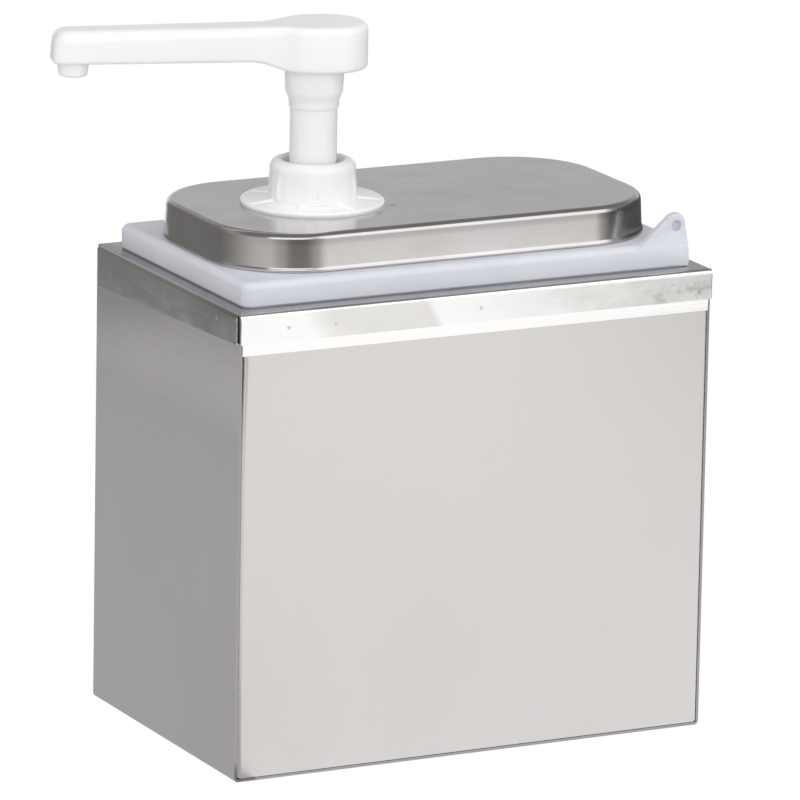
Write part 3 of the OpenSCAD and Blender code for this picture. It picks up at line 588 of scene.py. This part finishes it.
def collar_part():
    """A round nut with a full rounded rim; the grip faces are flat below and run out above."""
    count, pitch, first_fin, grip_r = 180, 360 / GRIP_COUNT, 13, 15.45
    angles = [2 * math.pi * k / count for k in range(count)]

    def stand_out(angle):
        """How far the nut stands out past the middle of a grip face, with a fin between two faces."""
        turn = (math.degrees(angle) - first_fin) % pitch
        face = min(grip_r / math.cos(math.radians(turn - pitch / 2)) - grip_r, 0.45)
        fin = 0.75 * (1 - smoothstep(1.6, 4.2, min(turn, pitch - turn)))
        return face + fin

    grips = [stand_out(a) for a in angles]

    def ring(r, rise, share=0.0):
        z = COLLAR_FOOT + rise
        return [
            (PUMP_X + (r + share * grip) * math.cos(a), (r + share * grip) * math.sin(a), z)
            for a, grip in zip(angles, grips)
        ]

    loops = [ring(NECK_R, 0), ring(15.9, 0), ring(16.05, 0.3, 0.2), ring(15.95, 0.9, 0.4)]
    loops += [ring(15.75, 1.9, 0.7), ring(15.6, 3.2, 1), ring(15.45, 5.5, 1), ring(15.4, 7.2, 0.9)]
    loops += [ring(15.4, 8.6, 0.4), ring(15.5, 10.2, 0.2)]
    for i in range(9):
        a = math.pi / 2 * i / 8
        loops.append(ring(12.1 + 3.4 * math.cos(a), 11.3 + 3.1 * math.sin(a), 0.15 * (1 - i / 8)))
    loops += [ring(11.6, 14.3), ring(11.3, 13.9), ring(11.2, 13.3), ring(11.2, 10.6), ring(NECK_R, 10.6)]
    return loft(loops, closed=True)


collar_skin = make_piece("collar_skin", [collar_part()], PUMP, "lid")
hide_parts("collar_nut")


# Spout: a keyhole-shaped moulding on a turned socket, with x along the arm

SPOUT_X = (-math.cos(ARM_ANGLE), math.sin(ARM_ANGLE))
SPOUT_Y = (-math.sin(ARM_ANGLE), -math.cos(ARM_ANGLE))
LOW_ROUND = 1.6


def spout_point(x, y, z):
    return (PUMP_X + x * SPOUT_X[0] + y * SPOUT_Y[0], x * SPOUT_X[1] + y * SPOUT_Y[1], z)


def spout_outline():
    """Half of the plan, from the back of the head to the tip: (x, y, outward normal)."""
    fillet, corner, straight = 15.0, 4.8, 18
    cx = math.sqrt((HEAD_R + fillet) ** 2 - (ARM_HALF + fillet) ** 2)
    meet = math.atan2(ARM_HALF + fillet, cx)
    quarter = math.pi / 2

    def bend(x, y, r, start, end, steps, outward=1):
        angles = [start + (end - start) * i / steps for i in range(steps + 1)]
        return [
            (x + r * math.cos(a), y + r * math.sin(a), outward * math.cos(a), outward * math.sin(a))
            for a in angles
        ]

    points = bend(-HEAD_BACK, 0, HEAD_R, math.pi, quarter, 24)
    points += bend(0, 0, HEAD_R, quarter, meet, 12)
    points += bend(cx, ARM_HALF + fillet, fillet, meet + math.pi, 3 * quarter, 16, -1)[1:]
    reach = ARM_END - corner - cx
    points += [(cx + reach * i / straight, ARM_HALF, 0.0, 1.0) for i in range(1, straight)]
    points += bend(ARM_END - corner, ARM_HALF - corner, corner, quarter, 0, 12)
    points.append((ARM_END, 0.0, 1.0, 0.0))
    return [(x, y * (1 - 0.06 * smoothstep(22, ARM_END, x)), nx, ny) for x, y, nx, ny in points]


def spout_loops(outline):
    """Loops from the rounded underside up the sides and over the rounded top edge."""

    def top(x):
        return HEAD_TOP - 0.8 * smoothstep(9, 21, x) - 0.5 * max(0.0, x - 19) / (ARM_END - 19)

    def foot(x):
        return HEAD_FOOT + 3.3 * smoothstep(10, 23, x)

    def edge(x):
        return 2.8 + 0.6 * smoothstep(6, 24, x) + 0.9 * smoothstep(24, 92, x)

    lean_foot = HEAD_FOOT + 3.6

    def place(x, y, z):
        """A point of the spout; the tip leans back a little."""
        lean = 0.09 * smoothstep(84, ARM_END, x) * (z - lean_foot)
        return spout_point(x - lean, y, z)

    loops = []
    for i in range(6):
        a = math.pi / 2 * (1 - i / 5)
        inset, rise = LOW_ROUND * (1 - math.cos(a)), LOW_ROUND * (1 - math.sin(a))
        loops.append([place(x - nx * inset, y - ny * inset, foot(x) + rise) for x, y, nx, ny in outline])
    for share in (0.33, 0.66):
        loops.append([
            place(x, y, (foot(x) + LOW_ROUND) * (1 - share) + (top(x) - edge(x)) * share)
            for x, y, nx, ny in outline
        ])
    for i in range(9):
        a = math.pi / 2 * i / 8
        inset, drop = 1 - math.cos(a), 1 - math.sin(a)
        loops.append([
            place(x - nx * edge(x) * inset, y - ny * edge(x) * inset, top(x) - edge(x) * drop)
            for x, y, nx, ny in outline
        ])
    return loops


def spout_part():
    """The head and arm, closed by strips across, with a blind flow hole in the head's underside."""
    half = spout_outline()
    full = half + [(x, -y, nx, -ny) for x, y, nx, ny in reversed(half[1:-1])]
    loops = spout_loops(full)
    verts, faces = loft(loops, caps=False)
    count, last, start = len(full), len(half) - 1, (len(loops) - 1) * len(full)
    low = [x - nx * LOW_ROUND for x, y, nx, ny in half]
    rows = [i for i in range(last) if abs(low[i]) < FLOW_R]
    first, final = rows[0] - 1, rows[-1] + 1
    side = [(low[i], math.sqrt(FLOW_R ** 2 - low[i] ** 2)) for i in rows]
    ring = [(-FLOW_R, 0.0)] + side + [(FLOW_R, 0.0)] + [(x, -y) for x, y in reversed(side)]
    size, mouth = len(ring), len(verts)
    for z in (HEAD_FOOT, FLOW_TOP):
        verts += [spout_point(x, y, z) for x, y in ring]

    def mouth_at(i, way):
        return mouth + ((i - first) * way) % size

    def add_face(*corners):
        faces.append(tuple(dict.fromkeys(corners)))

    for i in range(last):
        row = (i, i + 1, (count - i - 1) % count, (count - i) % count)
        add_face(*(start + k for k in row))
        if first <= i < final:
            add_face(row[0], row[1], mouth_at(i + 1, 1), mouth_at(i, 1))
            add_face(mouth_at(i, -1), mouth_at(i + 1, -1), row[2], row[3])
        else:
            add_face(*row)
    add_face(first, mouth_at(first, 1), count - first)
    add_face(final, count - final, mouth_at(final, 1))
    for i in range(size):
        j = (i + 1) % size
        add_face(mouth + i, mouth + j, mouth + size + j, mouth + size + i)
    add_face(*range(mouth + size, mouth + 2 * size))
    return verts, faces


socket_profile = [(FLOW_R, 0)] + arc(8.7, 0.3, 0.3, -90, 0, 3)
socket_profile += [(9.05, 2.1), (9.12, 2.7), (9.3, 3.3), (9.75, 4.5), (10.15, 5.5), (10.32, 6.1)]
socket_profile += [(10.38, 6.7), (10.75, 13.9), (11.0, 14.5), (11.6, 15.1), (FLOW_R, 15.7)]

spout_parts = [spout_part(), turned(socket_profile, SOCKET_FOOT)]
spout_skin = make_piece("spout_skin", spout_parts, PUMP, "spout", 38)
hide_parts("spout_head")

nozzle_bore = 2.6
nozzle_profile = [(nozzle_bore, 6.4), (5.9, 6.4), (5.9, 5.6), (5.75, 5.0), (5.45, 2.6)]
nozzle_profile += arc(3.95, 1.3, 1.3, 12, -90, 8)
nozzle_profile += [(3.0, 0), (2.7, 0.2), (nozzle_bore, 0.6)]
nozzle_x, nozzle_y, _ = spout_point(NOZZLE_AT, 0, 0)
nozzle_part = turned(nozzle_profile, NOZZLE_FOOT, nozzle_x, nozzle_y, 64)
nozzle_skin = make_piece("nozzle_skin", [nozzle_part], PUMP, "spout", 38)
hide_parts("nozzle_tip")


# Return spring, a coil of round wire


def spring_part():
    """A coil spring whose first and last turns lie nearly flat."""
    foot, top, turns, mean, wire = 131.51, 175.1, 8, 9.1, 0.7
    flat, lay = 1 / turns, 0.06
    steps, sides = 32 * turns, 10
    loops = []
    for i in range(steps + 1):
        t = i / steps
        if t < flat:
            share = t / flat * lay
        elif t > 1 - flat:
            share = 1 - (1 - t) / flat * lay
        else:
            share = lay + (t - flat) / (1 - 2 * flat) * (1 - 2 * lay)
        a = 2 * math.pi * turns * t
        z = foot + (top - foot) * share
        section = arc(mean, z, wire, 0, 360, sides)[:-1]
        loops.append([(PUMP_X + r * math.cos(a), r * math.sin(a), level) for r, level in section])
    return loft(loops)


spring_skin = make_piece("spring_skin", [spring_part()], SPRING, "lid")
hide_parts("return_spring")
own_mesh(spring_skin)


# Housing: folded panels that close on the wrap, and the top frame with open corners


def panel_part(turn):
    """A panel with folded edges; its seam to the wrap opens toward the top on one side."""
    foot, head, back, lap = 1.03, FRAME_TOP - BEND, -51.0, 1.2
    tight, fold, corner = 0.6, 0.4, 1.0

    def section(z, front, inset):
        left = 92.94 - 0.8 * smoothstep(118, 158, z) - inset
        right = 92.96 - inset
        loop = [(-left, back)] + arc(BEND - left, front + BEND, BEND, 180, 270, 8)
        loop += [(BEND + 0.3 - left, front), (right - tight - 0.3, front)]
        loop += arc(right - tight, front + tight, tight, 270, 360, 8)
        loop += [(right, back), (right - SHEET, back), (right - SHEET, front + lap)]
        loop += [(SHEET - left, front + lap), (SHEET - left, back)]
        return [(x * turn, y * turn, z) for x, y in loop]

    loops = []
    for rise in (0, 0.02, 0.06, 0.12, 0.2, 0.3, 0.4, 0.5, 0.7, 1.0):
        front = fold - PANEL_FACE - math.sqrt(fold ** 2 - max(0, fold - rise) ** 2)
        inset = corner - math.sqrt(corner ** 2 - (corner - rise) ** 2)
        loops.append(section(foot + rise, front, inset))
    loops += [section(z, -PANEL_FACE, 0) for z in (3.3, 60, 112, 124, 136, 148, 160, head)]
    return loft(loops)


def hem_part(hem_top, turn):
    """The turned hem along a panel's head: a rounded lower edge and a face that leans out a little."""
    low, high, r = hem_top - 4.3, hem_top + 0.4, 0.3
    inner, proud, tuck = PANEL_FACE - 0.4, PANEL_FACE + 0.38, 0.12
    section = [(inner, low)] + arc(proud - r, low + r, r, -90, 0, 6)
    section += [(proud, low + r + 0.15), (proud + tuck, high), (inner, high)]
    return loft([[(x * turn, -y * turn, z) for y, z in section] for x in (-93.2, -60, 0, 60, 93.0)])


for name, hem_top, turn in (("front_panel", FRONT_FOOT, 1), ("back_panel", BACK_FOOT, -1)):
    panel_parts = [panel_part(turn), hem_part(hem_top, turn)]
    skin = make_piece(name + "_skin", panel_parts, PANEL, "housing", 20)
    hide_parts(name)


def skirt_part(start, end, place, foot):
    """A bend and its skirt along a side: place(along, out, z) sets a point, foot(along) its lower edge."""
    bend_z, end_run, nip_in, spacing = FRAME_TOP - BEND, 0.25, 0.2, 12
    count = max(2, int((end - start) / spacing))
    stops = [start, start + end_run] + [start + (end - start) * i / count for i in range(1, count)]
    loops = []
    for along in stops + [end - end_run, end]:
        nip = nip_in if along in (start, end) else 0.0
        low = foot(along)
        section = arc(-BEND, bend_z, BEND, 90, 0, 8)
        section += [(0, bend_z - 0.25), (-nip, low + 0.06), (-0.06 - nip, low)]
        section += [(nip - 0.9, low), (nip - SHEET, low + 0.1)]
        section += arc(-BEND, bend_z, BEND - SHEET, 0, 90, 4)
        loops.append([place(along, out, z) for out, z in section])
    return loft(loops)


def long_side(side):
    return lambda along, out, z: (along, side * (HALF_D + out), z)


def short_side(side):
    return lambda along, out, z: (side * (HALF_W + out), along, z)


def end_foot(y):
    """The lower edge of an end skirt, which slopes from the front skirt's to the back skirt's."""
    return FRONT_FOOT + (BACK_FOOT - FRONT_FOOT) * (y + HALF_D) / (2 * HALF_D)


def ledge_loop(outer, z):
    if outer:
        return rect_loop(2 * (HALF_W - BEND), 2 * (HALF_D - BEND), 0.8, z, 12)
    return rect_loop(TANK_W + 2, TANK_D + 2, TANK_R + 1, z, 12)


low_z = FRAME_TOP - SHEET
ledge_loops = [
    ledge_loop(outer, z)
    for outer, z in ((True, FRAME_TOP), (False, FRAME_TOP), (False, low_z), (True, low_z))
]
frame_parts = [
    loft(ledge_loops, closed=True),
    skirt_part(-94.2, 94.2, long_side(-1), lambda along: FRONT_FOOT),
    skirt_part(-93.2, 93.2, long_side(1), lambda along: BACK_FOOT),
    skirt_part(-58.7, 57.6, short_side(-1), end_foot),
    skirt_part(-58.0, 57.6, short_side(1), end_foot),
]
frame_skin = make_piece("top_frame_skin", frame_parts, BRIGHT, "housing", 20)
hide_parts("top_frame")


# Spot welds on the skirt: shallow dished marks

LONG_WELDS = ((-75.5, 164.8), (-57, 164.6), (0.5, 165.1), (78, 166.5))
END_WELDS = ((-42.5, 166.3), (1.5, 165.6), (47, 162.8))


def weld_part(origin, normal):
    """A small raised oval with a dished middle, lying on a face: rings of (radius, height)."""
    stretch, sides = 1.25, 28
    n = Vector(normal)
    u = Vector((0, 0, 1)).cross(n)
    v = n.cross(u)
    loops = []
    for r, h in ((0.72, -0.05), (0.62, 0.03), (0.46, 0.07), (0.28, 0.05), (0.12, 0.03)):
        loops.append([
            tuple(Vector(origin) + u * (r * math.cos(a)) + v * (stretch * r * math.sin(a)) + n * h)
            for a in (2 * math.pi * k / sides for k in range(sides))
        ])
    return loft(loops)


welds = [weld_part((x, HALF_D * side, z), (0, side, 0)) for x, z in LONG_WELDS for side in (-1, 1)]
welds += [weld_part((HALF_W * side, y, z), (side, 0, 0)) for y, z in END_WELDS for side in (-1, 1)]
make_piece("spot_welds", welds, WELD, "housing", 60)


# Floor and studio cards, in metres

JUST_ABOVE, STRIP_FOOT = 0.0002, 0.0005
UP, TO_RIGHT = (0, 0, 1), (1, 0, 0)


def stage_material(name):
    material = bpy.data.materials.new(name)
    material.use_nodes = True
    material.node_tree.nodes.clear()
    return material, material.node_tree


def floor_material():
    """White to the camera and in reflections, light grey to all other light."""
    material, tree = stage_material("floor_white")
    output = new_node(tree, "OutputMaterial")
    path = new_node(tree, "LightPath")
    direct = new_node(tree, "Math", operation="MAXIMUM")
    seen = new_node(tree, "Math", operation="MAXIMUM")
    matte = new_node(tree, "BsdfDiffuse")
    matte.inputs["Color"].default_value = (0.86, 0.86, 0.86, 1)
    white = new_node(tree, "Emission")
    mix = new_node(tree, "MixShader")
    tree.links.new(path.outputs["Is Camera Ray"], direct.inputs[0])
    tree.links.new(path.outputs["Is Glossy Ray"], direct.inputs[1])
    tree.links.new(direct.outputs[0], seen.inputs[0])
    tree.links.new(path.outputs["Is Transmission Ray"], seen.inputs[1])
    tree.links.new(seen.outputs[0], mix.inputs[0])
    tree.links.new(matte.outputs[0], mix.inputs[1])
    tree.links.new(white.outputs[0], mix.inputs[2])
    tree.links.new(mix.outputs[0], output.inputs["Surface"])
    return material


def glow_material(name):
    """An evenly glowing material, with its tree and the socket for its colour."""
    material, tree = stage_material(name)
    glow = new_node(tree, "Emission")
    output = new_node(tree, "OutputMaterial")
    tree.links.new(glow.outputs[0], output.inputs["Surface"])
    return material, tree, glow.inputs["Color"]


def graded(tree, stops):
    """A ramp of warm greys by its stops: (share, level)."""
    ramp = new_node(tree, "ValToRGB")
    elements = ramp.color_ramp.elements
    while len(elements) < len(stops):
        elements.new(0.5)
    for element, (position, level) in zip(elements, stops):
        element.position = position
        element.color = (level, level * 0.985, level * 0.96, 1)
    return ramp


def stage_object(name, verts, faces, material):
    mesh = bpy.data.meshes.new(name)
    mesh.from_pydata(verts, [], faces)
    mesh.materials.append(material)
    piece = bpy.data.objects.new(name, mesh)
    bpy.context.scene.collection.objects.link(piece)
    return piece


def rectangle(w, d):
    """The corners and the one face of a level rectangle about the origin."""
    return [(-w / 2, -d / 2, 0), (w / 2, -d / 2, 0), (w / 2, d / 2, 0), (-w / 2, d / 2, 0)], [(0, 1, 2, 3)]


def placement(x, y, z, origin):
    """The matrix of an object by its three axes and its origin."""
    return Matrix([(x[i], y[i], z[i], origin[i]) for i in range(3)] + [(0, 0, 0, 1)])


def only_reflected(piece):
    piece.visible_camera = False
    piece.visible_shadow = False
    piece.visible_diffuse = False


def card(name, center, size, facing, color=None, stops=()):
    """A studio card that shows in reflections only, in one colour or graded along its width by stops."""
    material, tree, tint = glow_material(name)
    if stops:
        ramp = graded(tree, stops)
        coord = new_node(tree, "TexCoord")
        split = new_node(tree, "SeparateXYZ")
        tree.links.new(coord.outputs["Generated"], split.inputs[0])
        tree.links.new(split.outputs["X"], ramp.inputs[0])
        tree.links.new(ramp.outputs[0], tint)
    else:
        tint.default_value = (*color, 1)
    plane = stage_object(name, *rectangle(*size), material)
    z = Vector(facing)
    x = Vector((1, 0, 0)) if facing == UP else Vector((0, 0, 1)).cross(z)
    y = z.cross(x)
    plane.matrix_world = placement(x, y, z, center)
    only_reflected(plane)


def surround(name, radius, height, middle, half, stops):
    """A curved studio card about the object, graded round it by stops: (share of its turn, level)."""
    material, tree, tint = glow_material(name)
    coord = new_node(tree, "TexCoord")
    split = new_node(tree, "SeparateXYZ")
    turn = new_node(tree, "Math", operation="ARCTAN2")
    share = new_node(tree, "MapRange")
    share.inputs["From Min"].default_value = -math.radians(half)
    share.inputs["From Max"].default_value = math.radians(half)
    ramp = graded(tree, stops)
    tree.links.new(coord.outputs["Object"], split.inputs[0])
    tree.links.new(split.outputs["Y"], turn.inputs[0])
    tree.links.new(split.outputs["X"], turn.inputs[1])
    tree.links.new(turn.outputs[0], share.inputs["Value"])
    tree.links.new(share.outputs["Result"], ramp.inputs[0])
    tree.links.new(ramp.outputs[0], tint)
    verts = []
    for i in range(half + 1):
        a = math.radians(2 * i - half)
        verts += [(radius * math.cos(a), radius * math.sin(a), z) for z in (STRIP_FOOT, height)]
    faces = [(2 * i, 2 * i + 2, 2 * i + 3, 2 * i + 1) for i in range(half)]
    strip = stage_object(name, verts, faces, material)
    strip.rotation_euler = (0, 0, math.radians(middle))
    only_reflected(strip)


floor = stage_object("floor", *rectangle(12, 12), floor_material())

card("left_floor_card", (-0.236, 0.22, JUST_ABOVE), (0.302, 0.80), UP, (0.49, 0.485, 0.48))
card("left_far_card", (-0.547, 0.42, JUST_ABOVE), (0.32, 0.60), UP, (0.19, 0.187, 0.182))
card("left_step", (-0.379, 0.52, 0.05), (0.50, 0.10), TO_RIGHT, (0.17, 0.167, 0.162))
card(
    "front_card", (0.35, -0.72, JUST_ABOVE), (0.40, 0.22), UP,
    stops=((0.33, 1.0), (0.46, 0.95), (0.60, 0.70), (0.76, 0.47)),
)
surround("left_screen", 0.70, 0.9, 130, 36, ((0.0, 0.5), (0.2, 0.22), (0.75, 0.22), (1.0, 0.5)))
surround("left_surround", 0.68, 0.40, 190, 95, (
    (0.0, 0.20), (0.30, 0.18), (0.42, 0.30), (0.56, 0.60), (0.665, 0.70), (0.695, 0.46), (0.745, 0.42),
    (0.77, 0.20), (0.885, 0.20), (0.91, 0.38), (0.96, 0.50), (1.0, 0.95),
))
surround("right_surround", 0.60, 0.22, 4, 58, (
    (0.0, 0.5), (0.08, 0.35), (0.14, 0.10), (0.9, 0.10), (1.0, 0.3),
))
surround("right_screen", 0.62, 0.42, -4, 36, ((0.0, 0.6), (0.2, 0.10), (0.8, 0.10), (1.0, 0.4)))


# World: white at the horizon, darker overhead

HORIZON = (0.03, (1, 1, 1, 1))
MIDWAY = (0.22, (0.53, 0.53, 0.535, 1))
OVERHEAD = (0.55, (0.21, 0.21, 0.212, 1))

world = bpy.data.worlds.new("studio")
bpy.context.scene.world = world
world.use_nodes = True
tree = world.node_tree
tree.nodes.clear()
sky = new_node(tree, "Background")
output = new_node(tree, "OutputWorld")
coord = new_node(tree, "TexCoord")
split = new_node(tree, "SeparateXYZ")
ramp = new_node(tree, "ValToRGB")
ramp.color_ramp.elements.new(OVERHEAD[0])
for element, (position, color) in zip(ramp.color_ramp.elements, (HORIZON, MIDWAY, OVERHEAD)):
    element.position = position
    element.color = color
tree.links.new(coord.outputs["Generated"], split.inputs[0])
tree.links.new(split.outputs["Z"], ramp.inputs[0])
tree.links.new(ramp.outputs[0], sky.inputs["Color"])
tree.links.new(sky.outputs[0], output.inputs["Surface"])


# Lights, in metres and watts


def softbox(name, location, power, size=(1.6, 1.6), target=(0, 0, 0.15)):
    data = bpy.data.lights.new(name, "AREA")
    data.shape = "RECTANGLE"
    data.size, data.size_y = size
    data.energy = power
    lamp = bpy.data.objects.new(name, data)
    bpy.context.scene.collection.objects.link(lamp)
    lamp.location = location
    lamp.rotation_euler = (Vector(target) - Vector(location)).to_track_quat("-Z", "Y").to_euler()
    return lamp


softbox("key_light", (-0.8, -1.7, 0.9), 11.8, (1.9, 1.5), (0, 0, 0.13))
softbox("right_light", (1.05, -1.5, 1.25), 9.2)
unseen_lights = (
    softbox("top_light", (-0.2, -0.2, 1.9), 13.3),
    softbox("left_light", (-1.9, -0.3, 1.2), 8),
    softbox("right_fill", (1.8, -0.9, 0.9), 4),
)
for lamp in unseen_lights:
    lamp.visible_glossy = False


# Camera, fitted to the housing's edges: focal length and middle of the view are in pixels of the photo

AZIMUTH, ELEVATION, ROLL = math.radians(-27.021), math.radians(14.654), math.radians(-1.087)
PHOTO_SIZE, FOCAL, DISTANCE = 800, 8133.5, 2.963
MIDDLE_X, MIDDLE_Y = 398.71, 484.70
SENSOR = 36

target = Vector((0, 0, FRAME_TOP / 2 * MM))
back = Vector((
    math.sin(AZIMUTH) * math.cos(ELEVATION), -math.cos(AZIMUTH) * math.cos(ELEVATION), math.sin(ELEVATION),
))
right = (-back).cross(Vector((0, 0, 1))).normalized()
down = (-back).cross(right)
right, down = (
    right * math.cos(ROLL) + down * math.sin(ROLL),
    down * math.cos(ROLL) - right * math.sin(ROLL),
)
shift_x, shift_y = PHOTO_SIZE / 2 - MIDDLE_X, PHOTO_SIZE / 2 - MIDDLE_Y
aim = (-back * FOCAL + right * shift_x + down * shift_y).normalized()
right = (right - aim * right.dot(aim)).normalized()
up = right.cross(aim)
eye = target + back * DISTANCE
camera_data = bpy.data.cameras.new("camera")
camera_data.sensor_width = SENSOR
camera_data.lens = FOCAL * SENSOR / PHOTO_SIZE
camera_data.clip_end = 50
camera = bpy.data.objects.new("camera", camera_data)
bpy.context.scene.collection.objects.link(camera)
camera.matrix_world = placement(right, up, -aim, eye)
bpy.context.scene.camera = camera
bpy.context.scene.view_settings.view_transform = "Standard"
